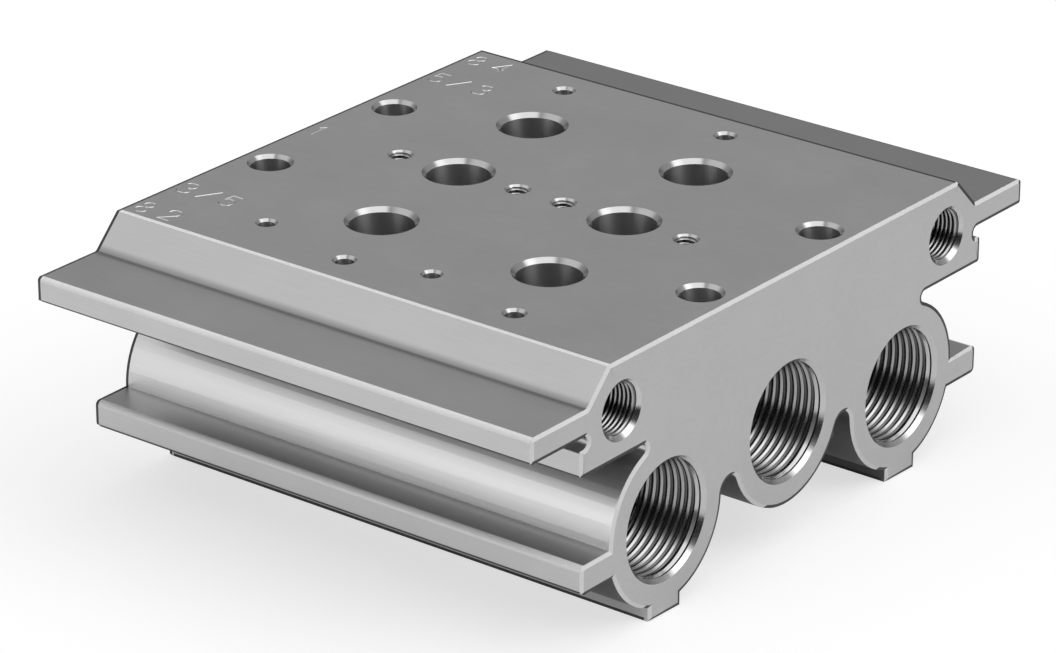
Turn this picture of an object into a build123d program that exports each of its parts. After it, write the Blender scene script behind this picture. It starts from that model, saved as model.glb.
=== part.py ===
from build123d import *
import math
import os

# Manifold block: a length of extruded aluminium with three large and two small channels,
# drilled from above for two valves and tapped at both ends. Millimetres, +Z up.
# X runs along the extrusion, Y across the section, and the feet stand on Z = 0.

# Overall section
body_length = 106.0
body_height = 50.2
deck_width = 99.6
shoulder_width = 110.8
shoulder_round = 0.7

# Upper flanges, one on each side of the deck
flange_width = 139.8
flange_top_z = 44.5
flange_thickness = 4.5
flange_corner = 0.8
flange_bottom_z = flange_top_z - flange_thickness

# Block under the flanges, with an undercut groove below each flange
block_width = 114.4
block_bottom_z = 33.0
groove_height = 2.4
groove_depth = 2.1

# Large channels: a lower pair and a raised middle one
channel_pitch = 34.0
side_channel_z = 17.0
middle_channel_z = 22.5
channel_radius = 9.0
tube_wall = 6.15
tube_radius = channel_radius + tube_wall
valley_radius = 2.5
notch_radius = 1.1

# Lower flanges and feet
lower_flange_width = 113.8
lower_flange_top_z = 17.0
lower_flange_thickness = 5.1
lower_flange_corner = 1.0
foot_centre_y = 34.3
foot_width = 8.4
foot_rise = 3.0

# Small channels high in the deck
small_channel_y = 46.5
small_channel_z = 41.2
small_channel_radius = 4.0

# Tapped ends of the channels, bored to the inner radius of the thread
large_tap_radius = 10.2
large_tap_depth = 17.0
large_mouth_radius = 11.0
small_tap_radius = 4.28
small_tap_depth = 11.0
small_mouth_radius = 5.3
end_edge_chamfer = 0.4

# Two valve stations on the deck
station_spacing = 36.2
valve_port_radius = 5.7
valve_port_mouth = 6.5
valve_port_pitch = 25.5
valve_port_slant = 3.75
valve_port_floor_z = 19.0
valve_screw_radius = 1.62
valve_screw_mouth = 2.3
valve_screw_offset = 13.1
valve_screw_depth = 10.0

# Pilot holes into the small channels, and one locating hole for each valve
pilot_radius = 1.65
pilot_mouth = 2.15
pilot_x = 9.9
pilot_y = 42.6
locating_radius = 1.5
locating_mouth = 1.95
locating_x = -11.0
locating_y = -38.3
locating_depth = 5.0

# Mounting holes, straight down between the tubes
mounting_radius = 3.5
mounting_mouth = 4.15
mounting_end_distance = 6.3

drill_point_angle = 118.0
lip_round = 0.5
deck_round = 0.5
cut_past = 1.0

half_length = body_length / 2
station_x = (-station_spacing / 2, station_spacing / 2)
mounting_x = half_length - mounting_end_distance
mounting_y = channel_pitch / 2
small_channels = ((-small_channel_y, small_channel_z), (small_channel_y, small_channel_z))
large_channels = (
    (-channel_pitch, side_channel_z),
    (0.0, middle_channel_z),
    (channel_pitch, side_channel_z),
)


def rectangle_between(y0, z0, y1, z1):
    """Rectangle with two opposite corners at (y0, z0) and (y1, z1)."""
    centre = Pos((y0 + y1) / 2, (z0 + z1) / 2)
    return centre * Rectangle(abs(y1 - y0), abs(z1 - z0))


def disc(y, z, radius):
    """Full disc of the section."""
    return Pos(y, z) * Circle(radius)


def round_corners(section, points, radius):
    """Round the corners of the section that lie at the given points."""
    wanted = []
    for y, z in points:
        near = section.vertices().sort_by_distance((y, z, 0))
        wanted.append(near[0])
    return fillet(wanted, radius)


def deck_section():
    """Right half of the deck: sloped shoulder, flange and the block below it."""
    half_deck = deck_width / 2
    half_shoulder = shoulder_width / 2
    half_flange = flange_width / 2
    half_block = block_width / 2
    outline = Polyline(
        (0, body_height),
        (half_deck, body_height),
        (half_shoulder, flange_top_z),
        (half_flange, flange_top_z),
        (half_flange, flange_bottom_z),
        (half_block, flange_bottom_z),
        (half_block, block_bottom_z),
        (0, block_bottom_z),
        close=True,
    )
    return make_face(outline)


def groove_section():
    """Undercut groove with a round end, right below the flange."""
    radius = groove_height / 2
    middle_z = flange_bottom_z - radius
    centre_y = block_width / 2 - groove_depth + radius
    mouth = rectangle_between(centre_y, flange_bottom_z, block_width, flange_bottom_z - groove_height)
    return disc(centre_y, middle_z, radius) + mouth


def notch_centre():
    """Centre of the round in the corner between the block and the outer side of the tube."""
    z = block_bottom_z - notch_radius
    reach = tube_radius + notch_radius
    return channel_pitch + math.sqrt(reach**2 - (z - side_channel_z) ** 2), z


def valley_centre():
    """Centre of the round that touches both neighbouring tubes from below."""
    fall = middle_channel_z - side_channel_z
    spacing = math.hypot(channel_pitch, fall)
    reach = tube_radius + valley_radius
    drop = math.sqrt(reach**2 - (spacing / 2) ** 2)
    y = channel_pitch / 2 - drop * fall / spacing
    z = (middle_channel_z + side_channel_z) / 2 - drop * channel_pitch / spacing
    return y, z


def touch_point(channel_y, channel_z, centre, radius):
    """Where a round of the given centre and radius touches the tube of a channel."""
    y, z = centre
    share = tube_radius / (tube_radius + radius)
    return channel_y + (y - channel_y) * share, channel_z + (z - channel_z) * share


def web_section():
    """Metal between the tubes and the block, down to the top of the valley."""
    valley = valley_centre()
    notch = notch_centre()
    outline = Polyline(
        (0, block_bottom_z),
        (0, middle_channel_z),
        touch_point(0.0, middle_channel_z, valley, valley_radius),
        touch_point(channel_pitch, side_channel_z, valley, valley_radius),
        (channel_pitch, side_channel_z),
        touch_point(channel_pitch, side_channel_z, notch, notch_radius),
        notch,
        (notch[0], block_bottom_z),
        close=True,
    )
    return make_face(outline) - disc(*valley, valley_radius) - disc(*notch, notch_radius)


def lower_section():
    """Side tube with its lower flange and its foot."""
    tube = disc(channel_pitch, side_channel_z, tube_radius)
    flange_bottom = lower_flange_top_z - lower_flange_thickness
    flange = rectangle_between(channel_pitch, flange_bottom, lower_flange_width / 2, lower_flange_top_z)
    foot = Pos(foot_centre_y, foot_rise / 2) * Rectangle(foot_width, foot_rise)
    return tube + flange + foot


def outer_corners():
    """Corner points of the right half, with the radius of each round."""
    half_flange = flange_width / 2
    half_lower = lower_flange_width / 2
    half_block = block_width / 2
    lower_bottom = lower_flange_top_z - lower_flange_thickness
    return (
        ((deck_width / 2, body_height), deck_round),
        ((shoulder_width / 2, flange_top_z), shoulder_round),
        ((half_flange, flange_top_z), flange_corner),
        ((half_flange, flange_bottom_z), flange_corner / 2),
        ((half_block, flange_bottom_z - groove_height), lip_round),
        ((half_block, block_bottom_z), lip_round),
        ((half_lower, lower_flange_top_z), lower_flange_corner),
        ((half_lower, lower_bottom), lower_flange_corner),
    )


def section():
    """Whole outline of the extrusion, symmetric about the middle."""
    half = deck_section() - groove_section() + web_section() + lower_section()
    half += disc(0.0, middle_channel_z, tube_radius)
    whole = half + mirror(half, about=Plane.YZ)
    for (y, z), radius in outer_corners():
        whole = round_corners(whole, ((y, z), (-y, z)), radius)
    return whole


def extrusion():
    """Cut length of the section with its end edges broken."""
    solid = extrude(Plane.YZ * section(), amount=half_length, both=True)
    end_faces = solid.faces().filter_by(Axis.X).sort_by(Axis.X)
    end_edges = end_faces[0].edges() + end_faces[-1].edges()
    return chamfer(end_edges, end_edge_chamfer)


def tapped_end(end, y, z, tap_radius, tap_depth, mouth_radius):
    """Bore for the thread and chamfered mouth of a channel, at one end of the block."""
    chamfer_depth = mouth_radius - tap_radius
    facing = Rot(0, 90 * end, 0)
    bore = Pos(end * (half_length - tap_depth / 2), y, z) * facing * Cylinder(tap_radius, tap_depth)
    cone = Cone(tap_radius, mouth_radius, chamfer_depth)
    return bore + Pos(end * (half_length - chamfer_depth / 2), y, z) * facing * cone


def channel(y, z, bore_radius, tap_radius, tap_depth, mouth_radius):
    """Through channel along X with both ends opened up for a thread."""
    cutter = Pos(0, y, z) * Rot(0, 90, 0) * Cylinder(bore_radius, body_length)
    for end in (-1, 1):
        cutter += tapped_end(end, y, z, tap_radius, tap_depth, mouth_radius)
    return cutter


def channels():
    """All five channels of the extrusion."""
    large = (channel_radius, large_tap_radius, large_tap_depth, large_mouth_radius)
    small = (small_channel_radius, small_tap_radius, small_tap_depth, small_mouth_radius)
    cutters = [channel(y, z, *large) for y, z in large_channels]
    cutters += [channel(y, z, *small) for y, z in small_channels]
    return cutters


def drilled_hole(x, y, floor_z, radius, mouth_radius):
    """Round hole from the deck with a flat floor and a chamfered mouth."""
    depth = body_height - floor_z
    chamfer_depth = mouth_radius - radius
    bore = Pos(x, y, floor_z + depth / 2) * Cylinder(radius, depth)
    mouth = Pos(x, y, body_height - chamfer_depth / 2) * Cone(radius, mouth_radius, chamfer_depth)
    return bore + mouth


def drill_point(x, y, floor_z, radius):
    """Conical end that the drill leaves below the floor of a hole."""
    length = radius / math.tan(math.radians(drill_point_angle / 2))
    return Pos(x, y, floor_z - length / 2) * Cone(0, radius, length)


def valve_ports(centre_x):
    """Slanted row of three ports: outer two into the side channels, one into the middle."""
    cutters = []
    for step in (-1, 0, 1):
        x = centre_x - step * valve_port_slant
        y = step * valve_port_pitch
        floor_z = middle_channel_z if step == 0 else valve_port_floor_z
        hole = drilled_hole(x, y, floor_z, valve_port_radius, valve_port_mouth)
        cutters.append(hole + drill_point(x, y, floor_z, valve_port_radius))
    return cutters


def valve_screw_holes(centre_x):
    """Pair of blind tapped holes on the centre line, at the inner radius of their thread."""
    floor_z = body_height - valve_screw_depth
    cutters = []
    for side in (-1, 1):
        x = centre_x + side * valve_screw_offset
        cutters.append(drilled_hole(x, 0.0, floor_z, valve_screw_radius, valve_screw_mouth))
    return cutters


def small_holes(centre_x):
    """Two pilot holes that reach the small channels, and the locating hole."""
    cutters = []
    for side in (-1, 1):
        x = centre_x - side * pilot_x
        y = side * pilot_y
        cutters.append(drilled_hole(x, y, small_channel_z, pilot_radius, pilot_mouth))
    floor_z = body_height - locating_depth
    x = centre_x + locating_x
    cutters.append(drilled_hole(x, locating_y, floor_z, locating_radius, locating_mouth))
    return cutters


def mounting_holes():
    """Four straight holes through the deck, open to the valleys between the tubes."""
    length = body_height + 2 * cut_past
    chamfer_depth = mounting_mouth - mounting_radius
    cutters = []
    for x in (-mounting_x, mounting_x):
        for y in (-mounting_y, mounting_y):
            bore = Pos(x, y, body_height / 2) * Cylinder(mounting_radius, length)
            cone = Cone(mounting_radius, mounting_mouth, chamfer_depth)
            mouth = Pos(x, y, body_height - chamfer_depth / 2) * cone
            cutters.append(bore + mouth)
    return cutters


def manifold_block():
    """The extrusion with its channels and every drilled hole."""
    cutters = channels() + mounting_holes()
    for centre_x in station_x:
        cutters += valve_ports(centre_x)
        cutters += valve_screw_holes(centre_x)
        cutters += small_holes(centre_x)
    body = extrusion()
    for cutter in cutters:
        body -= cutter
    return body


os.makedirs("parts", exist_ok=True)
export_step(manifold_block(), "parts/manifold_block.step")
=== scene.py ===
import bpy
import bmesh
import math
from mathutils import Matrix, Vector

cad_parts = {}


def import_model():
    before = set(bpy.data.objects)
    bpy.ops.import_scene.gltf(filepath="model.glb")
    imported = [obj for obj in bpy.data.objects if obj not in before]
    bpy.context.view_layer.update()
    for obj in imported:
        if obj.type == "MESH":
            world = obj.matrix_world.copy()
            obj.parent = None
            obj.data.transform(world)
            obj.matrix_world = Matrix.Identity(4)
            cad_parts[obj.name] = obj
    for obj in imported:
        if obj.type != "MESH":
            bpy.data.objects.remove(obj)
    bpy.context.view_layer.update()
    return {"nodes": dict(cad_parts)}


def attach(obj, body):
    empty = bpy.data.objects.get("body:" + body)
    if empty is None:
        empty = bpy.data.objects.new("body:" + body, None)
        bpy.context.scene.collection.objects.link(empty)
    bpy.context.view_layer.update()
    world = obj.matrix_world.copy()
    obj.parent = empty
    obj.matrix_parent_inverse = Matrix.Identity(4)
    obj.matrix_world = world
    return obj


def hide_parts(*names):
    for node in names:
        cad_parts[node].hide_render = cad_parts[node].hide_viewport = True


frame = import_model()

MM = 0.001
NODE = "manifold_block"

# Sizes of the block in millimetres, as in the CAD part
HALF_LENGTH = 53.0
DECK_Z = 50.2
BLOCK_BOTTOM_Z = 33.0
LEDGE_Z = 17.0
FOOT_RISE = 3.0
LARGE_CHANNELS = ((-34.0, 17.0), (0.0, 22.5), (34.0, 17.0))
SMALL_CHANNELS = ((-46.5, 41.2), (46.5, 41.2))

# The two valve stations on the deck: middles, and where the holes lie from there
STATIONS = (-18.1, 18.1)
PORT_PITCH = 25.5
PORT_SLANT = 3.75
SCREW_OFFSET = 13.1
PILOT_X = 9.9
PILOT_Y = 42.6
LOCATING_X = -11.0
LOCATING_Y = -38.3
MOUNTING_X = 46.7
MOUNTING_Y = 17.0

# Wall radius and mouth radius of the holes in the deck
VALVE_PORT = (5.7, 6.5)
SCREW_HOLE = (1.62, 2.3)
PILOT_HOLE = (1.65, 2.15)
LOCATING_HOLE = (1.5, 1.95)
MOUNTING_HOLE = (3.5, 4.15)

# Section of a large mouth down to the first full thread: radius and depth
LARGE_LEAD = ((11.02, 0.0), (10.32, 0.70), (10.54, 0.88), (10.54, 1.20), (10.25, 1.76))
LEAD_SIDES = 96

# Threads: inner, outer and mouth radius, pitch, depth and facets round. The shift is the depth at
# which phase 0 lies where the angle starts.
LARGE_THREAD = dict(minor=10.2, major=10.94, mouth=11.0, pitch=1.46, depth=13.5, shift=0.45, sides=76,
                    lead=LARGE_LEAD)
SMALL_THREAD = dict(minor=4.28, major=4.82, mouth=5.3, pitch=0.86, depth=8.0, shift=0.53, sides=52)
SCREW_THREAD = dict(minor=SCREW_HOLE[0], major=2.0, mouth=SCREW_HOLE[1], pitch=0.7, depth=5.0, shift=0.31,
                    sides=32)

# Phases of a thread's rows within one pitch, and the groove's depth there as a share of the whole.
# Phase 0 lies on the flank that faces out of the hole, which meets the crest at FLANK_END.
PHASE_START = -0.12
FLANK_END = 0.11
PHASES = (0.05, FLANK_END, 0.17, 0.27, 0.36, 0.46, 0.60, 0.74, 0.88, 0.95)
PROFILE = ((PHASE_START, 0.52), (FLANK_END, 0.04), (0.17, 0.0), (0.27, 0.0), (0.46, 1.0), (0.74, 1.0),
           (0.88, 0.52))

# How deep the cutters still cut at a crest and on the countersink, and how far they stay off the
# wall where they cut nothing
CREST_CUT = 0.05
CONE_CUT = 0.02
STAND_OFF = 0.12

# Where the grooves fade in under the lead-in and out before the end of the thread
FADE_IN = 0.4
FADE_OUT_PITCHES = 0.8
RUN_OUT = 0.25

# How far the two cutters of a large mouth overlap, and how far cutters reach above the mouth
LEAD_OVERLAP = 0.02
LEAD_BELOW = 0.05
ROWS_ABOVE = 0.15
TIP_ABOVE = 4.0

# Step over which a thread's slope is measured for its normals
NORMAL_STEP = 0.05

# Distances in metres within which points are one: along the CAD's seams, after the cuts, on a plane
SEAM_GAP = 2e-6
CUT_GAP = 1e-7
PLANE_GAP = 1e-8

# How closely a face's place is compared with the sizes: in general, on the mouths, under a thread
# and round the holes in the deck
NEAR = 0.01
MOUTH_NEAR = 0.05
BELOW_THREAD = 0.3
HOLE_NEAR = 0.02

# Faces nearer to a channel's axis than this are its wall, and the deck's holes end at this height
LARGE_REACH = 10.3
SMALL_REACH = 4.4
HOLES_FOOT_Z = 8.0

# Chamfers at the ends: their middle lies within END_CHAMFER of the end, their slope between the
# two values, and their outer corners more than OUTER_LOOP from the end
END_CHAMFER = 0.42
CHAMFER_SLOPE = (0.6, 0.8)
OUTER_LOOP = 0.2

# The corners are moved by these amounts, inside a collar that is cut off the long faces
EDGE_SHIFT = 0.3
EDGE_INSET = 0.2
EDGE_LIFT = 0.25
EDGE_MARGIN = 0.1
END_COLLAR = 51.9

# An end edge is painted as a highlight where it faces the front or up, with up weighed by UP_SHARE,
# and as shade elsewhere. Its width changes softly from highlight to shade.
UP_SHARE = 0.45
SOFT_CHANGE = 0.2

# Narrow strips beside long edges, which are bright or dull lines in the photo, painted as highlight or as
# shade
DECK_FRONT = -49.22
DECK_BACK = 49.12
FOOT_LINE = 0.55
TUBE_LINE = 17.45
TUBE_FOOT_Y = 49.1
TUBE_STRIP_Y = (48.0, 49.3)
TUBE_STRIP_TOP = 20.0
STRIP_LAYER = "strip"
# Marks of strips painted as highlight and as shade
PAINTED_HIGHLIGHT = 1
PAINTED_SHADE = 2

# Reach of the engraved marks and of the round at the deck's edge, down from the deck
DECK_HALF = 49.2
MARK_REACH = 0.25
DECK_ROUND = 0.3

# Long rounds of the section that show as lines: least distance from the middle, range of height,
# range of the face's upward tilt, and kind at the front and at the back; the edge kind is a painted
# highlight and the rim kind painted shade
LONG_ROUNDS = (
    (69.0, 43.6, DECK_Z, 0.02, 0.999, "edge", "rim"),
    (69.3, 0.0, 40.5, -0.999, -0.02, "rim", "rim"),
    (55.8, 15.9, LEDGE_Z, 0.3, 0.999, "edge", "edge"),
    (55.8, 11.8, 13.0, -0.999, -0.3, "rim", "rim"),
    (56.6, 32.9, 33.6, -1.1, -0.1, "rim", "rim"),
)

# Surfaces painted darker as shade: the valleys between the tubes and feet, what lies under the back's
# lower flange, all that faces down, and the back flange
VALLEY_HALF = 33.0
VALLEY_TOP = 25.0
BACK_LEDGE_Y = 50.0
BACK_LEDGE_FOOT = 12.0
UNDER_TILT = -0.35
BACK_Y = 49.0
BACK_Z = 40.0

# Cosine above which a face looks one way exactly, and the tilts of a countersink in the deck
FLAT = 0.999
CONE_TILT = (0.5, 0.9)
HOLE_FLOOR_TILT = 0.98

# Angle between two faces up to which they are shaded as one round surface
SMOOTH_ANGLE = math.radians(30.0)


# Mesh helpers

def new_object(name, mesh):
    """Object around a mesh, linked to the scene."""
    obj = bpy.data.objects.new(name, mesh)
    bpy.context.scene.collection.objects.link(obj)
    return obj


def solid_mesh(name, verts, faces):
    """Closed mesh whose faces all look outwards."""
    mesh = bpy.data.meshes.new(name)
    mesh.from_pydata(verts, [], faces)
    bm = bmesh.new()
    bm.from_mesh(mesh)
    bmesh.ops.recalc_face_normals(bm, faces=bm.faces)
    bm.to_mesh(mesh)
    bm.free()
    return mesh


def swept_mesh(name, rings, closed):
    """Closed mesh through rings of points; the ends are capped unless the sweep is closed."""
    count = len(rings[0])
    total = len(rings)
    verts = [tuple(p) for ring in rings for p in ring]
    faces = []
    for i in range(total if closed else total - 1):
        a = i * count
        b = ((i + 1) % total) * count
        for j in range(count):
            k = (j + 1) % count
            faces.append((a + j, a + k, b + k, b + j))
    if not closed:
        faces.append(tuple(range(count - 1, -1, -1)))
        faces.append(tuple(range((total - 1) * count, total * count)))
    return solid_mesh(name, verts, faces)


def joined(name, meshes):
    """One object from several meshes, which are used up."""
    bm = bmesh.new()
    for mesh in meshes:
        bm.from_mesh(mesh)
        bpy.data.meshes.remove(mesh)
    out = bpy.data.meshes.new(name)
    bm.to_mesh(out)
    bm.free()
    return new_object(name, out)


def cut(target, cutter):
    """Subtract the cutter from the target's mesh and remove the cutter."""
    modifier = target.modifiers.new("cut", "BOOLEAN")
    modifier.operation = "DIFFERENCE"
    modifier.object = cutter
    modifier.solver = "MANIFOLD"
    depsgraph = bpy.context.evaluated_depsgraph_get()
    mesh = bpy.data.meshes.new_from_object(target.evaluated_get(depsgraph))
    target.modifiers.clear()
    used_up = (target.data, cutter.data)
    target.data = mesh
    bpy.data.objects.remove(cutter)
    for old in used_up:
        bpy.data.meshes.remove(old)


def smooth(value):
    """Smooth step of a value between 0 and 1."""
    value = min(1.0, max(0.0, value))
    return value * value * (3 - 2 * value)


# Threads

class Thread:
    """Right-hand thread at the mouth of a bored hole, with a countersink or a turned lead-in.

    Sizes are in millimetres. Local +Z points out of the mouth, with the origin in its middle, and
    a depth is positive into the hole.
    """

    def __init__(self, matrix, minor, major, mouth, pitch, depth, shift, sides, lead=None):
        self.matrix = matrix
        self.inverse = matrix.inverted()
        self.minor = minor
        self.major = major
        self.mouth = mouth
        self.pitch = pitch
        self.depth = depth
        self.shift = shift
        self.sides = sides
        self.lead = lead
        self.lead_end = lead[-1][1] if lead else 0.0

    def phase(self, depth, angle):
        """Place within one pitch, from PHASE_START up; the flank that looks out comes first."""
        phase = (depth - self.shift) / self.pitch + angle / math.tau
        return phase - math.floor(phase - PHASE_START)

    def groove(self, depth, angle):
        """Radius of the thread alone."""
        phase = self.phase(depth, angle)
        for (start, low), (end, high) in zip(PROFILE, PROFILE[1:]):
            if phase <= end:
                break
        height = low + (high - low) * min(1.0, (phase - start) / (end - start))
        height *= smooth((self.depth - RUN_OUT - depth) / (FADE_OUT_PITCHES * self.pitch))
        if self.lead:
            height *= smooth((depth - self.lead_end) / FADE_IN)
        return self.minor + CREST_CUT + (self.major - self.minor - CREST_CUT) * height

    def cone(self, depth):
        """Radius of the plain countersink."""
        return self.mouth - depth + CONE_CUT

    def radius(self, depth, angle):
        """Radius of the cutter, which stays off the wall above and below the thread."""
        if depth > self.depth - RUN_OUT or self.lead and depth < self.lead_end - LEAD_OVERLAP:
            return self.minor - STAND_OFF
        if self.lead:
            return self.groove(depth, angle)
        return max(self.groove(depth, angle), self.cone(depth))

    def placed(self, radius, angle, depth):
        """Point of the scene from its radius, angle and depth in the hole."""
        return self.matrix @ (Vector((radius * math.cos(angle), radius * math.sin(angle), -depth)) * MM)

    def local(self, point):
        """Radius, angle and depth of a point of the scene."""
        p = (self.inverse @ point) / MM
        return math.hypot(p.x, p.y), math.atan2(p.y, p.x), -p.z

    def plug(self):
        """Cutter whose rows follow the helix, so crests and roots stay smooth."""
        per = len(PHASES)
        first = math.floor((-ROWS_ABOVE - self.shift) / self.pitch - PHASES[0])
        last = math.ceil((self.depth - self.shift) / self.pitch) + 1
        rows = (last - first) * per
        verts = []
        index = {}
        for q in range(rows + 1):
            phase = first + q // per + PHASES[q % per]
            for j in range(self.sides + 1):
                # A full turn ends where the row one pitch before it starts
                if j == self.sides and q >= per:
                    index[q, j] = index[q - per, 0]
                    continue
                angle = math.tau * j / self.sides
                depth = self.shift + self.pitch * (phase - j / self.sides)
                index[q, j] = len(verts)
                verts.append(self.placed(self.radius(depth, angle), angle, depth))
        faces = []
        for q in range(rows):
            for j in range(self.sides):
                faces.append((index[q, j], index[q, j + 1], index[q + 1, j + 1], index[q + 1, j]))
        top = [index[0, j] for j in range(self.sides + 1)] + [index[q, self.sides] for q in range(1, per)]
        foot = [index[rows, j] for j in range(self.sides)]
        foot += [index[q, 0] for q in range(rows - per, rows)]
        for ring, depth in ((top, -TIP_ABOVE), (foot, self.depth + 2.0 * self.pitch)):
            tip = len(verts)
            verts.append(self.matrix @ Vector((0.0, 0.0, -depth * MM)))
            for i, a in enumerate(ring):
                faces.append((a, ring[(i + 1) % len(ring)], tip))
        return solid_mesh("thread", verts, faces)

    def lead_plug(self):
        """Turned cutter for the mouth above the thread."""
        foot = self.lead_end + LEAD_BELOW
        section = ((0.0, -TIP_ABOVE), (self.lead[0][0] + TIP_ABOVE, -TIP_ABOVE)) + self.lead
        section += ((self.minor - STAND_OFF, foot), (0.0, foot))
        verts = []
        rings = []
        for radius, depth in section:
            count = LEAD_SIDES if radius else 1
            rings.append([len(verts) + j for j in range(count)])
            for j in range(count):
                verts.append(self.placed(radius, math.tau * j / LEAD_SIDES, depth))
        faces = []
        for a, b in zip(rings, rings[1:]):
            for j in range(LEAD_SIDES):
                k = (j + 1) % LEAD_SIDES
                corners = (a[j % len(a)], a[k % len(a)], b[k % len(b)], b[j % len(b)])
                faces.append(tuple(dict.fromkeys(corners)))
        return solid_mesh("lead", verts, faces)

    def normal(self, point, on_cone):
        """Exact normal of the thread or the countersink at a point."""
        radius, angle, depth = self.local(point)
        if on_cone:
            along, around = -1.0, 0.0
        else:
            step = NORMAL_STEP
            turn = step / self.mouth
            along = (self.groove(depth + step, angle) - self.groove(depth - step, angle)) / (2 * step)
            around = self.groove(depth, angle + turn) - self.groove(depth, angle - turn)
            around /= 2 * turn * radius
        out = Vector((math.cos(angle), math.sin(angle), 0.0))
        side = Vector((-math.sin(angle), math.cos(angle), 0.0))
        made = side * around - out - Vector((0.0, 0.0, along))
        return (self.matrix.to_3x3() @ made).normalized()


def end_matrix(end, y, z):
    """Frame at a channel's mouth, with local +Z out of the end face."""
    turn = Matrix.Rotation(math.radians(90.0 * end), 4, "Y")
    return Matrix.Translation(Vector((end * HALF_LENGTH, y, z)) * MM) @ turn


def thread_list():
    """Every thread of the block: large and small channel ends, and the valve screws."""
    made = []
    for end in (-1, 1):
        for y, z in LARGE_CHANNELS:
            made.append(Thread(end_matrix(end, y, z), **LARGE_THREAD))
        for y, z in SMALL_CHANNELS:
            made.append(Thread(end_matrix(end, y, z), **SMALL_THREAD))
    for station in STATIONS:
        for side in (-1, 1):
            place = Matrix.Translation(Vector((station + side * SCREW_OFFSET, 0.0, DECK_Z)) * MM)
            made.append(Thread(place, **SCREW_THREAD))
    return made


THREADS = thread_list()


# Engraved numbers

# Strokes of plain single-line figures, in a cell one wide and one high
FIGURES = {
    "1": (((0.25, 0.80), (0.55, 1.0), (0.55, 0.0)),),
    "2": (((0.04, 0.74), (0.10, 0.90), (0.28, 1.0), (0.70, 1.0), (0.90, 0.90), (0.97, 0.74),
           (0.92, 0.56), (0.04, 0.0), (1.0, 0.0)),),
    "3": (((0.0, 0.85), (0.14, 0.97), (0.40, 1.0), (0.74, 0.98), (0.92, 0.86), (0.92, 0.68),
           (0.78, 0.56), (0.45, 0.53)),
          ((0.52, 0.48), (0.80, 0.46), (0.98, 0.34), (0.98, 0.16), (0.80, 0.03), (0.46, 0.0),
           (0.14, 0.03), (0.0, 0.16))),
    "4": (((0.74, 0.0), (0.74, 0.20)), ((0.74, 0.27), (0.74, 1.0), (0.0, 0.27), (0.68, 0.27)),
          ((0.80, 0.27), (1.0, 0.27))),
    "5": (((0.92, 1.0), (0.12, 1.0), (0.04, 0.56), (0.30, 0.64), (0.62, 0.64), (0.90, 0.52),
           (1.0, 0.32), (0.90, 0.10), (0.60, 0.0), (0.28, 0.01), (0.0, 0.14)),),
    "/": (((0.0, 0.0), (1.0, 1.0)),),
}
CURVED_FIGURES = "3"
CURVE_STEPS = 5

# The two loops of an 8: middle and half sizes in the cell
LOOPS_8 = ((0.5, 0.765, 0.40, 0.235), (0.5, 0.26, 0.48, 0.26))
LOOP_SIDES = 28

FIGURE_WIDTH = 2.6
FIGURE_HEIGHT = 4.3
STROKE_WIDTH = 0.34
STROKE_DEPTH = 0.16
STROKE_LIFT = 0.6 * STROKE_DEPTH
WIDEST_MITRE = 1.8

# Port numbers beside the channels they belong to: text, middles of the figures in Y, baseline in X
PORT_MARKS = (
    ("84", (-49.9, -44.2), 42.7),
    ("5/3", (-49.9, -45.2, -39.7), 31.5),
    ("1", (-50.0,), -2.4),
    ("3/5", (-50.0, -45.2, -40.4), -37.0),
    ("82", (-50.0, -44.1), -48.0),
)


def stroke_mesh(points, closed=False):
    """V-shaped cutter along a line on the deck, a little above the surface at its top."""
    rings = []
    total = len(points)
    for i, point in enumerate(points):
        here = Vector(point)
        before = Vector(points[i - 1]) if closed or i > 0 else None
        after = Vector(points[(i + 1) % total]) if closed or i < total - 1 else None
        if before is None:
            before = here * 2 - after
        if after is None:
            after = here * 2 - before
        into = (here - before).normalized()
        out = (after - here).normalized()
        mitre = (into + out).normalized()
        half = STROKE_WIDTH / 2 * min(WIDEST_MITRE, 1.0 / max(0.3, mitre.dot(into)))
        side = Vector((-mitre.y, mitre.x)) * half
        left = here + side
        right = here - side
        top = DECK_Z + STROKE_LIFT
        rings.append([
            Vector((here.x, here.y, DECK_Z - STROKE_DEPTH)) * MM,
            Vector((right.x, right.y, DECK_Z)) * MM,
            Vector((right.x, right.y, top)) * MM,
            Vector((left.x, left.y, top)) * MM,
            Vector((left.x, left.y, DECK_Z)) * MM,
        ])
    return swept_mesh("stroke", rings, closed)


def smooth_line(points):
    """Catmull-Rom curve through the points, for the round strokes."""
    out = []
    for i in range(len(points) - 1):
        p0 = Vector(points[max(i - 1, 0)])
        p1 = Vector(points[i])
        p2 = Vector(points[i + 1])
        p3 = Vector(points[min(i + 2, len(points) - 1)])
        for s in range(CURVE_STEPS):
            t = s / CURVE_STEPS
            out.append(0.5 * ((2 * p1) + (p2 - p0) * t + (2 * p0 - 5 * p1 + 4 * p2 - p3) * t * t
                              + (3 * p1 - p0 - 3 * p2 + p3) * t ** 3))
    out.append(Vector(points[-1]))
    return out


def in_cell(centre, base, u, v):
    """Point on the deck from its place in a figure's cell."""
    return (centre - FIGURE_WIDTH / 2 + u * FIGURE_WIDTH, base + v * FIGURE_HEIGHT)


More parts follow.
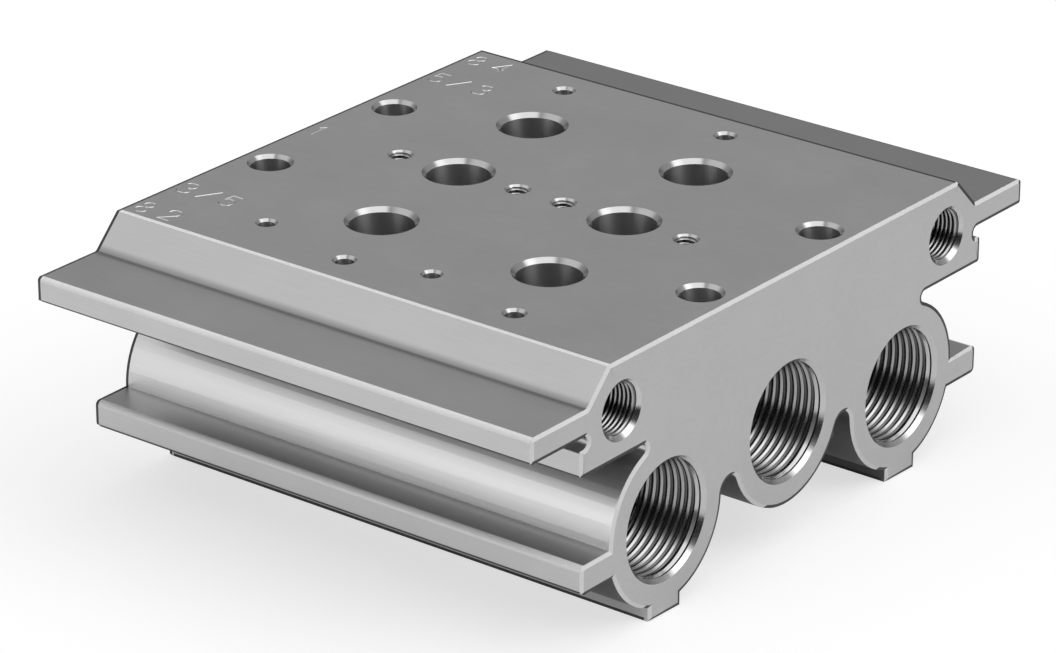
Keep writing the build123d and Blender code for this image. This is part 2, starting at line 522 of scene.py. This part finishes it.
def mark_cutters():
    """Groups of stroke cutters; no two in a group touch."""
    groups = ([], [], [])
    for text, centres, base in PORT_MARKS:
        for char, centre in zip(text, centres):
            if char == "8":
                for group, (u, v, half_u, half_v) in zip(groups, LOOPS_8):
                    ring = []
                    for i in range(LOOP_SIDES):
                        angle = 2 * math.pi * i / LOOP_SIDES
                        ring.append(in_cell(centre, base, u + half_u * math.cos(angle),
                                            v + half_v * math.sin(angle)))
                    group.append(stroke_mesh(ring, closed=True))
                continue
            for group, stroke in zip(groups, FIGURES[char]):
                points = [in_cell(centre, base, u, v) for u, v in stroke]
                if char in CURVED_FIGURES:
                    points = smooth_line(points)
                group.append(stroke_mesh(points))
    return groups


# Materials

# How the grain is stretched: not at all, along the extrusion, across the ends, and round holes
EVEN = (1.0, 1.0, 1.0)
ALONG = (0.03, 1.0, 1.0)
ALONG_DECK = (0.12, 1.0, 1.0)
ACROSS_END = (1.0, 0.25, 1.0)
RINGS_X = (1.0, 0.04, 0.04)
RINGS_Z = (0.04, 0.04, 1.0)

MOTTLE = 0.05
GLOSS_SPREAD = 0.06
LEAST_ROUGHNESS = 0.02
BLOTCH_SCALE = 70.0
GRAIN_SHARE = 0.55

# Line where the shoulder meets the flange, and how far from it the metal is painted darker, as shade in
# the corner
CORNER_Y = 55.4
CORNER_Z = 44.5
CORNER_REACH = 1.7


def node(tree, kind, **values):
    """New shader node; in_Name sets the input called Name, other words set its own values."""
    made = tree.nodes.new(kind)
    for key, value in values.items():
        if key.startswith("in_"):
            made.inputs[key[3:].replace("_", " ")].default_value = value
        else:
            setattr(made, key, value)
    return made


def combine(tree, operation, first, second):
    """Output of a maths node; the second value is a plain number or another node's output."""
    made = node(tree, "ShaderNodeMath", operation=operation)
    tree.links.new(first, made.inputs[0])
    if isinstance(second, float):
        made.inputs[1].default_value = second
    else:
        tree.links.new(second, made.inputs[1])
    return made.outputs[0]


def eased(tree, value, low, high, at_low, at_high):
    """Value that goes smoothly from one amount to another while the given one passes a range."""
    fade = node(tree, "ShaderNodeMapRange", interpolation_type="SMOOTHSTEP", in_From_Min=low,
                in_From_Max=high, in_To_Min=at_low, in_To_Max=at_high)
    tree.links.new(value, fade.inputs["Value"])
    return fade.outputs[0]


def corner_painted_shade(tree, coords, colour, strength):
    """Colour made darker near the line where the shoulder meets the flange's top, as painted shade in the
    corner.
    """
    link = tree.links.new
    fold = node(tree, "ShaderNodeVectorMath", operation="ABSOLUTE")
    link(coords.outputs["Object"], fold.inputs[0])
    flat = node(tree, "ShaderNodeVectorMath", operation="MULTIPLY")
    flat.inputs[1].default_value = (0.0, 1.0, 1.0)
    link(fold.outputs[0], flat.inputs[0])
    away = node(tree, "ShaderNodeVectorMath", operation="DISTANCE")
    away.inputs[1].default_value = Vector((0.0, CORNER_Y, CORNER_Z)) * MM
    link(flat.outputs[0], away.inputs[0])
    shade = node(tree, "ShaderNodeVectorMath", operation="SCALE")
    link(colour, shade.inputs[0])
    link(eased(tree, away.outputs["Value"], 0.1 * MM, CORNER_REACH * MM, 1.0 - strength, 1.0),
         shade.inputs["Scale"])
    return shade.outputs[0]


def metal(name, grey, roughness, grain, grain_scale, bump, metallic=1.0, brushed=0.0, corner_shade=0.0):
    """Satin aluminium with fine grain, faint blotches and uneven gloss.

    Bump is the grain's height in millimetres. Brushed spreads the reflection up and down a hole's
    wall, and the last argument paints shade into the corner where the shoulder meets the flange, as a
    darker colour.
    """
    mat = bpy.data.materials.new(name)
    mat.use_nodes = True
    tree = mat.node_tree
    tree.nodes.clear()
    link = tree.links.new
    out = node(tree, "ShaderNodeOutputMaterial")
    shader = node(tree, "ShaderNodeBsdfPrincipled", in_Metallic=metallic)
    link(shader.outputs[0], out.inputs[0])
    coords = node(tree, "ShaderNodeTexCoord")
    stretch = node(tree, "ShaderNodeMapping", in_Scale=grain)
    link(coords.outputs["Object"], stretch.inputs["Vector"])
    fine = node(tree, "ShaderNodeTexNoise", in_Scale=grain_scale, in_Detail=4.0, in_Roughness=0.62)
    link(stretch.outputs[0], fine.inputs["Vector"])
    blotch = node(tree, "ShaderNodeTexNoise", in_Scale=BLOTCH_SCALE, in_Detail=3.0, in_Roughness=0.5)
    link(coords.outputs["Object"], blotch.inputs["Vector"])
    # Blotches and grain darken or lighten the metal slightly
    both = node(tree, "ShaderNodeMix", data_type="FLOAT")
    both.inputs[0].default_value = GRAIN_SHARE
    link(blotch.outputs["Fac"], both.inputs[2])
    link(fine.outputs["Fac"], both.inputs[3])
    ramp = node(tree, "ShaderNodeValToRGB")
    low, high = ramp.color_ramp.elements
    low.position = 0.30
    high.position = 0.70
    darker = grey * (1 - MOTTLE)
    lighter = min(1.0, grey * (1 + MOTTLE))
    low.color = (darker, darker, darker, 1)
    high.color = (lighter, lighter, lighter, 1)
    link(both.outputs[0], ramp.inputs[0])
    colour = ramp.outputs[0]
    # Painted shade: the colour is made darker near the corner where the shoulder meets the flange
    if corner_shade:
        colour = corner_painted_shade(tree, coords, colour, corner_shade)
    link(colour, shader.inputs["Base Color"])
    if brushed:
        shader.inputs["Anisotropic"].default_value = brushed
        upright = node(tree, "ShaderNodeCombineXYZ", in_Z=1.0)
        link(upright.outputs[0], shader.inputs["Tangent"])
    # The gloss follows the same pattern, and the grain stands up a little
    rough = node(tree, "ShaderNodeMapRange", in_To_Min=max(LEAST_ROUGHNESS, roughness - GLOSS_SPREAD),
                 in_To_Max=roughness + GLOSS_SPREAD)
    link(both.outputs[0], rough.inputs["Value"])
    link(rough.outputs[0], shader.inputs["Roughness"])
    lump = node(tree, "ShaderNodeBump", in_Strength=1.0, in_Distance=bump * MM)
    link(fine.outputs["Fac"], lump.inputs["Height"])
    link(lump.outputs[0], shader.inputs["Normal"])
    return mat


# One material for each kind of surface, with the grey that it has in the photo. Where that grey holds
# painted light or shade, a comment says so.
MATERIALS = {
    # The extruded metal gets painted shade in the corner under the shoulder
    "extruded": metal("aluminium_extruded", 0.66, 0.34, ALONG, 2600.0, 0.004, corner_shade=0.45),
    # The back flange is painted darker, as shade
    "back": metal("aluminium_back_flange_painted_shade", 0.48, 0.36, ALONG, 2600.0, 0.004),
    "tube": metal("aluminium_tube", 0.73, 0.36, ALONG, 2600.0, 0.003),
    # The lower flange's top is painted darker, as the shade under the parts above it
    "step": metal("aluminium_lower_flange_painted_shade", 0.56, 0.36, ALONG, 2600.0, 0.004),
    # Painted shade: the near-black grey of the undersides, valleys and what lies under the back's lower
    # flange
    "under": metal("aluminium_underside_painted_shade", 0.14, 0.40, ALONG, 2600.0, 0.004),
    "deck": metal("aluminium_deck", 0.68, 0.42, ALONG_DECK, 2200.0, 0.003),
    "sawn": metal("aluminium_sawn", 0.61, 0.42, ACROSS_END, 2200.0, 0.004),
    "bore": metal("aluminium_bored", 0.42, 0.38, RINGS_Z, 6000.0, 0.004, brushed=0.9),
    # Painted light and shade in the threads: one metal in two greys, dark in the grooves as shade in the
    # hole, lighter on the flank that faces out of the hole where the light catches it
    "thread": metal("aluminium_thread", 0.17, 0.25, RINGS_X, 1800.0, 0.001),
    "flank": metal("aluminium_thread_flank", 0.45, 0.24, RINGS_X, 1800.0, 0.001),
    "mouth": metal("aluminium_countersink", 0.64, 0.20, RINGS_Z, 1800.0, 0.001),
    "ring": metal("aluminium_deck_countersink", 0.60, 0.18, RINGS_Z, 1800.0, 0.001),
    # Painted highlight: near-white, not metallic, on edges, rounds and strips that catch the light
    "edge": metal("aluminium_edge_painted_highlight", 0.97, 0.55, EVEN, 1500.0, 0.002, metallic=0.0),
    # Painted shade: near-black lines along edges, rounds and strips at the back and below
    "rim": metal("aluminium_rim_painted_shade", 0.09, 0.60, EVEN, 1500.0, 0.002, metallic=0.6),
    "mark": metal("aluminium_mark", 0.75, 0.30, EVEN, 1500.0, 0.002),
}
SLOTS = list(MATERIALS)

# Channel walls have the material of the bores in the deck, but are shaded apart from them
MATERIAL_OF = {kind: kind for kind in SLOTS} | {"channel": "bore"}
ROUND_KINDS = ("bore", "channel", "mouth", "ring", "thread", "flank")


# Kinds of surface

def hole_list():
    """Place, wall radius and mouth radius of every hole that opens on the deck."""
    holes = []
    for station in STATIONS:
        for k in (-1, 0, 1):
            holes.append((station - k * PORT_SLANT, k * PORT_PITCH, *VALVE_PORT))
        for side in (-1, 1):
            holes.append((station + side * SCREW_OFFSET, 0.0, *SCREW_HOLE))
            holes.append((station - side * PILOT_X, side * PILOT_Y, *PILOT_HOLE))
        holes.append((station + LOCATING_X, LOCATING_Y, *LOCATING_HOLE))
    for x in (-MOUNTING_X, MOUNTING_X):
        for y in (-MOUNTING_Y, MOUNTING_Y):
            holes.append((x, y, *MOUNTING_HOLE))
    return holes


HOLES = hole_list()


def thread_of(point):
    """The thread whose grooves or mouth a point lies on, and its distance from the axis and depth."""
    for thread in THREADS:
        radius, _, depth = thread.local(point)
        if radius < thread.mouth + MOUTH_NEAR and -NEAR < depth < thread.depth + BELOW_THREAD:
            return thread, radius, depth
    return None, 0.0, 0.0


def kind_in_thread(point):
    """Kind of a face in a thread or its mouth, and the thread where it gives the normals."""
    thread, radius, depth = thread_of(point)
    if not thread:
        return None, None
    in_wall = radius > thread.minor + NEAR
    if thread.lead and in_wall and depth < thread.lead_end + NEAR:
        on_cone = depth < thread.lead[1][1] or depth > thread.lead[3][1]
        return ("mouth" if on_cone else "thread"), None
    near_cone = abs(radius - thread.cone(depth)) < MOUTH_NEAR
    if not thread.lead and near_cone and depth < thread.mouth - thread.minor:
        return "mouth", thread
    if in_wall:
        angle = thread.local(point)[1]
        # The flank that faces out of the hole gets the lighter grey, the rest the dark one: painted light
        # and shade
        return ("flank" if thread.phase(depth, angle) < FLANK_END else "thread"), thread
    return None, None


def kind_in_hole(x, y, z, tilt):
    """Kind of a face in a channel or in a hole of the deck."""
    for channels, reach in ((LARGE_CHANNELS, LARGE_REACH), (SMALL_CHANNELS, SMALL_REACH)):
        for cy, cz in channels:
            if math.hypot(y - cy, z - cz) < reach:
                return "channel"
    for hx, hy, wall, mouth in HOLES:
        if math.hypot(x - hx, y - hy) > mouth + HOLE_NEAR or not HOLES_FOOT_Z <= z <= DECK_Z - 1e-4:
            continue
        if DECK_Z - z < mouth - wall and CONE_TILT[0] < tilt < CONE_TILT[1]:
            return "ring"
        if abs(tilt) < HOLE_FLOOR_TILT:
            return "bore"
    return None


def kind_of_line(y, z, normal):
    """Kind of a mark, round or strip that shows as a fine line along the block; rounds and strips get
    painted highlight or painted shade.
    """
    across = abs(normal.y)
    if z > DECK_Z - MARK_REACH and abs(y) < DECK_HALF:
        return "mark"
    if z > DECK_Z - DECK_ROUND and across > 0.05:
        return "edge" if y < 0 else "rim"
    for beyond, low, high, tilt_low, tilt_high, front, back in LONG_ROUNDS:
        if abs(y) > beyond and low < z < high and tilt_low < normal.z < tilt_high:
            return front if y < 0 else back
    if z < FOOT_LINE and across > 0.99:
        return "rim"
    if LEDGE_Z - NEAR < z < TUBE_LINE and abs(abs(y) - TUBE_FOOT_Y) < 0.2 and across > 0.9:
        return "edge"
    return None


def kind_of_face(y, z, normal):
    """Kind of a broad face of the section."""
    valley = abs(y) < VALLEY_HALF and z < VALLEY_TOP
    behind = y > BACK_LEDGE_Y and z < BACK_LEDGE_FOOT
    # Valleys, what lies under the back's lower flange and all that faces down are painted dark as shade
    if (normal.z < UNDER_TILT or valley or behind) and abs(normal.x) < 0.5:
        return "under"
    # The back flange is painted darker as shade
    if y > BACK_Y and z > BACK_Z:
        return "back"
    # The lower flange's top gets its darker grey, painted shade
    if abs(z - LEDGE_Z) < 0.1 and normal.z > 0.9:
        return "step"
    if LEDGE_Z < z < BLOCK_BOTTOM_Z and abs(normal.y) > 0.05:
        return "tube"
    return "extruded"


def kind_of(face, strip):
    """Which surface of the block a face belongs to, and its thread if that gives the normals."""
    centre = face.calc_center_median()
    x, y, z = centre / MM
    n = face.normal
    if HALF_LENGTH - abs(x) < NEAR and abs(n.x) > FLAT:
        return "sawn", None
    if z > DECK_Z - NEAR and n.z > FLAT:
        # Strips along the deck's long edges: painted highlight at the front, painted shade at the back
        if y < DECK_FRONT:
            return "edge", None
        return ("rim" if y > DECK_BACK else "deck"), None
    kind, thread = kind_in_thread(centre)
    if kind:
        return kind, thread
    kind = kind_in_hole(x, y, z, n.z)
    # Strips marked earlier are painted as highlight or as shade
    if not kind and face[strip]:
        kind = "edge" if face[strip] == PAINTED_HIGHLIGHT else "rim"
    return kind or kind_of_line(y, z, n) or kind_of_face(y, z, n), None


# Edges and strips

def whiteness(across, up):
    """Positive where an end edge that faces this way in the section is painted as a highlight, negative
    where painted as shade.
    """
    return UP_SHARE * up - across


def bisect(bm, geom, point, direction):
    """Cut the geometry along a plane; the point is in millimetres."""
    bmesh.ops.bisect_plane(bm, geom=geom, dist=PLANE_GAP, plane_co=Vector(point) * MM, plane_no=direction)


def end_collars(bm):
    """Cut all round near each end, so that moving an end edge leaves the far faces alone."""
    for x in (-END_COLLAR, END_COLLAR):
        bisect(bm, list(bm.verts) + list(bm.edges) + list(bm.faces), (x, 0, 0), (1, 0, 0))


def mark_end_edges(bm, strip):
    """Mark the chamfers at the ends as painted highlight or painted shade, and list the ways that each
    corner faces.
    """
    directions = {}
    for face in bm.faces:
        centre = face.calc_center_median()
        to_end = HALF_LENGTH - abs((centre / MM).x)
        if not 0.0 < to_end < END_CHAMFER or thread_of(centre)[0]:
            continue
        if not CHAMFER_SLOPE[0] < abs(face.normal.x) < CHAMFER_SLOPE[1]:
            continue
        flat = Vector((face.normal.y, face.normal.z)).normalized()
        # Chamfers at the +X end that face the front or up are painted as highlight, all others as shade
        face[strip] = PAINTED_HIGHLIGHT if centre.x > 0 and whiteness(flat.x, flat.y) > 0 else PAINTED_SHADE
        for vert in face.verts:
            known = directions.setdefault(vert, [])
            if all(flat.dot(other) < FLAT for other in known):
                known.append(flat)
    return directions


def reshape_edges(bm):
    """Widen the end chamfers, those painted as shade most; nothing leaves the CAD's box."""
    strip = bm.faces.layers.int.new(STRIP_LAYER)
    for vert, flats in mark_end_edges(bm, strip).items():
        middle = sum(flats, Vector((0.0, 0.0))).normalized()
        share = max(0.5, min(middle.dot(flat) for flat in flats))
        to_end = HALF_LENGTH - abs(vert.co.x) / MM
        outer = to_end > OUTER_LOOP
        # How far this corner is painted as shade rather than highlight
        dull = smooth(-whiteness(middle.x, middle.y) / SOFT_CHANGE)
        if vert.co.x > 0:
            along = min(EDGE_SHIFT * dull, to_end - EDGE_MARGIN) if outer else 0.0
            across = 0.0 if outer else -EDGE_INSET
        else:
            along = EDGE_SHIFT if outer else 0.0
            across = 0.0 if outer else EDGE_LIFT
        vert.co.x += along * MM
        vert.co.y += middle.x * across / share * MM
        vert.co.z += middle.y * across / share * MM


def split_faces(bm, pick, point, direction):
    """Cut the picked faces along a plane, for a strip beside an edge."""
    faces = [f for f in bm.faces if pick(f.calc_center_median() / MM, f.normal)]
    edges = {e for f in faces for e in f.edges}
    verts = {v for f in faces for v in f.verts}
    bisect(bm, faces + list(edges) + list(verts), point, direction)


def split_strips(bm):
    """Strips along the deck's two long edges, the tubes' feet and the bottom of the feet, to be painted as
    highlight or shade lines.
    """
    for y in (DECK_FRONT, DECK_BACK):
        split_faces(bm, lambda c, n: n.z > FLAT and c.z > DECK_Z - NEAR, (0, y, 0), (0, 1, 0))
    inner, outer = TUBE_STRIP_Y
    for side in (-1, 1):
        split_faces(bm, lambda c, n: abs(n.y) > 0.9 and LEDGE_Z < c.z < TUBE_STRIP_TOP
                    and inner < side * c.y < outer and abs(c.x) < END_COLLAR, (0, 0, TUBE_LINE), (0, 0, 1))
    split_faces(bm, lambda c, n: abs(n.y) > 0.99 and c.z < FOOT_RISE and abs(c.x) < END_COLLAR,
                (0, 0, FOOT_LINE), (0, 0, 1))


def set_normals(obj, kinds, threads):
    """Exact normals on threads; elsewhere smooth ones inside each kind of surface."""
    bm = bmesh.new()
    bm.from_mesh(obj.data)
    bm.faces.ensure_lookup_table()
    area = [f.calc_area() for f in bm.faces]
    normal = [f.normal.copy() for f in bm.faces]
    cosine = math.cos(SMOOTH_ANGLE)
    found = [None] * sum(len(f.loops) for f in bm.faces)
    for vert in bm.verts:
        loops = list(vert.link_loops)
        exact = {}
        for loop in loops:
            f = loop.face.index
            kind = kinds[f]
            if threads[f]:
                if kind not in exact:
                    exact[kind] = tuple(threads[f].normal(vert.co, kind == "mouth"))
                found[loop.index] = exact[kind]
                continue
            total = Vector((0.0, 0.0, 0.0))
            for other in loops:
                g = other.face.index
                if kinds[g] != kind or normal[f].dot(normal[g]) < cosine:
                    continue
                weight = other.calc_angle()
                if kind not in ROUND_KINDS:
                    weight *= area[g]
                total += normal[g] * weight
            found[loop.index] = tuple(total.normalized()) if total.length > 0 else tuple(normal[f])
    bm.free()
    obj.data.normals_split_custom_set(found)


# The block

def block_copy():
    """Mesh of the CAD node with its seams welded, as a new object."""
    source = frame["nodes"][NODE]
    mesh = source.data.copy()
    for name in ("custom_normal", "sharp_edge", "sharp_face"):
        if name in mesh.attributes:
            mesh.attributes.remove(mesh.attributes[name])
    bm = bmesh.new()
    bm.from_mesh(mesh)
    bm.transform(source.matrix_world)
    bmesh.ops.remove_doubles(bm, verts=bm.verts, dist=SEAM_GAP)
    bm.to_mesh(mesh)
    bm.free()
    return new_object("block_body", mesh)


def finish_surface(obj):
    """Edges, strips, materials and normals of the cut block."""
    mesh = obj.data
    mesh.materials.clear()
    for slot in SLOTS:
        mesh.materials.append(MATERIALS[slot])
    bm = bmesh.new()
    bm.from_mesh(mesh)
    bmesh.ops.remove_doubles(bm, verts=bm.verts, dist=CUT_GAP)
    end_collars(bm)
    reshape_edges(bm)
    split_strips(bm)
    strip = bm.faces.layers.int[STRIP_LAYER]
    kinds = []
    threads = []
    for face in bm.faces:
        kind, thread = kind_of(face, strip)
        kinds.append(kind)
        threads.append(thread)
        face.smooth = True
        face.material_index = SLOTS.index(MATERIAL_OF[kind])
    for edge in bm.edges:
        pair = edge.link_faces
        if len(pair) == 2:
            edge.smooth = pair[0].normal.angle(pair[1].normal, 0.0) < SMOOTH_ANGLE
    bm.faces.layers.int.remove(strip)
    bm.to_mesh(mesh)
    bm.free()
    set_normals(obj, kinds, threads)


body = block_copy()
cut(body, joined("lead_cutters", [thread.lead_plug() for thread in THREADS if thread.lead]))
cut(body, joined("thread_cutters", [thread.plug() for thread in THREADS]))
for group in mark_cutters():
    cut(body, joined("mark_cutters", group))
finish_surface(body)

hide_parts(NODE)
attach(body, "root")


# Floor, light and camera

FLOOR_RADIUS = 0.45
FLOOR_SIDES = 96

# The floor's grey for light and for the camera, and its glow to the camera and in reflections
FLOOR_GREY = 0.80
FLOOR_GREY_SEEN = 0.50
FLOOR_GLOW_SEEN = 0.65
FLOOR_GLOW_MIRRORED = 0.18

# The dome's strength at the horizon and from DOME_TOP up, as the sine of the height angle
DOME_LOW = 0.104
DOME_HIGH = 0.368
DOME_TOP = 0.45

# Soft lights in the dome: direction, half angles of the full and the whole spot, strength
OVERHEAD = ((0.37, 0.03, 0.93), 29, 36, 0.864)
FRONT_LOW = ((-0.36, -0.90, 0.10), 12, 29, 1.28)
FRONT_HIGH = ((-0.57, -0.41, 0.71), 12, 34, 0.416)
END_LIGHT = ((0.86, 0.22, 0.46), 16, 34, 1.12)

# The end light fades in between these heights of the direction
END_LIGHT_FOOT = (0.07, 0.17)

# Dark flag that takes most of the light away in its direction
FLAG = ((0.80, -0.56, 0.20), 18, 40, -0.92)

# The photo's camera, solved from its straight edges and round mouths: pixels, and millimetres
PHOTO_WIDTH = 1056
PHOTO_FOCAL = 5088.53
SENSOR_WIDTH = 36.0
CAMERA_PLACE = (500.306, -639.034, 379.149)
CAMERA_RIGHT = (0.785708, 0.618597, 0.000147)
CAMERA_DOWN = (0.247107, -0.313643, -0.916824)
CAMERA_AHEAD = (-0.567098, 0.720393, -0.399292)


def floor():
    """Pale floor that keeps the block's shadow and glows a little, so that it looks nearly white."""
    mesh = bpy.data.meshes.new("floor")
    turns = [math.tau * i / FLOOR_SIDES for i in range(FLOOR_SIDES)]
    rim = [(FLOOR_RADIUS * math.cos(turn), FLOOR_RADIUS * math.sin(turn), 0.0) for turn in turns]
    mesh.from_pydata(rim, [], [tuple(range(FLOOR_SIDES))])
    obj = new_object("floor", mesh)
    mat = bpy.data.materials.new("floor")
    mat.use_nodes = True
    tree = mat.node_tree
    tree.nodes.clear()
    link = tree.links.new
    out = node(tree, "ShaderNodeOutputMaterial")
    matt = node(tree, "ShaderNodeBsdfDiffuse")
    glow = node(tree, "ShaderNodeEmission")
    path = node(tree, "ShaderNodeLightPath")
    pale = node(tree, "ShaderNodeMapRange", in_To_Min=FLOOR_GREY, in_To_Max=FLOOR_GREY_SEEN)
    link(path.outputs["Is Camera Ray"], pale.inputs["Value"])
    link(pale.outputs[0], matt.inputs["Color"])
    seen = combine(tree, "MULTIPLY", path.outputs["Is Camera Ray"], FLOOR_GLOW_SEEN)
    other = combine(tree, "MAXIMUM", path.outputs["Is Glossy Ray"], path.outputs["Is Transmission Ray"])
    mirrored = combine(tree, "MULTIPLY", other, FLOOR_GLOW_MIRRORED)
    link(combine(tree, "ADD", seen, mirrored), glow.inputs["Strength"])
    both = node(tree, "ShaderNodeAddShader")
    link(matt.outputs[0], both.inputs[0])
    link(glow.outputs[0], both.inputs[1])
    link(both.outputs[0], out.inputs[0])
    mesh.materials.append(mat)


def lobe(tree, coords, direction, inner, outer, strength):
    """Soft round light in one direction of the dome; inner and outer are half angles in degrees."""
    dot = node(tree, "ShaderNodeVectorMath", operation="DOT_PRODUCT")
    dot.inputs[1].default_value = Vector(direction).normalized()
    tree.links.new(coords.outputs["Generated"], dot.inputs[0])
    return eased(tree, dot.outputs["Value"], math.cos(math.radians(outer)), math.cos(math.radians(inner)),
                 0.0, strength)


def by_height(tree, coords, low, high, at_low, at_high):
    """Value that changes with the height of the direction."""
    split = node(tree, "ShaderNodeSeparateXYZ")
    tree.links.new(coords.outputs["Generated"], split.inputs[0])
    return eased(tree, split.outputs[2], low, high, at_low, at_high)


def world():
    """Grey studio dome, darker at the horizon, with four soft lights and a dark flag in it.

    The camera sees plain white in its place.
    """
    made = bpy.data.worlds.new("studio")
    made.use_nodes = True
    bpy.context.scene.world = made
    tree = made.node_tree
    tree.nodes.clear()
    out = node(tree, "ShaderNodeOutputWorld")
    back = node(tree, "ShaderNodeBackground", in_Color=(1.0, 1.0, 1.0, 1.0))
    coords = node(tree, "ShaderNodeTexCoord")
    total = by_height(tree, coords, 0.0, DOME_TOP, DOME_LOW, DOME_HIGH)
    for light in (OVERHEAD, FRONT_LOW, FRONT_HIGH):
        total = combine(tree, "ADD", total, lobe(tree, coords, *light))
    above_foot = by_height(tree, coords, *END_LIGHT_FOOT, 0.0, 1.0)
    end_light = combine(tree, "MULTIPLY", lobe(tree, coords, *END_LIGHT), above_foot)
    total = combine(tree, "ADD", total, end_light)
    kept = combine(tree, "ADD", lobe(tree, coords, *FLAG), 1.0)
    total = combine(tree, "MULTIPLY", total, kept)
    path = node(tree, "ShaderNodeLightPath")
    pick = node(tree, "ShaderNodeMix", data_type="FLOAT")
    tree.links.new(path.outputs["Is Camera Ray"], pick.inputs[0])
    tree.links.new(total, pick.inputs[2])
    pick.inputs[3].default_value = 1.0
    tree.links.new(pick.outputs[0], back.inputs["Strength"])
    tree.links.new(back.outputs[0], out.inputs[0])


def camera():
    """Camera at the photograph's place and focal length."""
    cam = bpy.data.cameras.new("camera")
    cam.sensor_fit = "HORIZONTAL"
    cam.sensor_width = SENSOR_WIDTH
    cam.lens = PHOTO_FOCAL * SENSOR_WIDTH / PHOTO_WIDTH
    cam.clip_start = 0.05
    cam.clip_end = 50.0
    obj = new_object("camera", cam)
    axes = (Vector(CAMERA_RIGHT), -Vector(CAMERA_DOWN), -Vector(CAMERA_AHEAD))
    turn = Matrix(axes).transposed().to_4x4()
    turn.translation = Vector(CAMERA_PLACE) * MM
    obj.matrix_world = turn
    bpy.context.scene.camera = obj


floor()
world()
camera()

bpy.context.scene.view_settings.view_transform = "Standard"
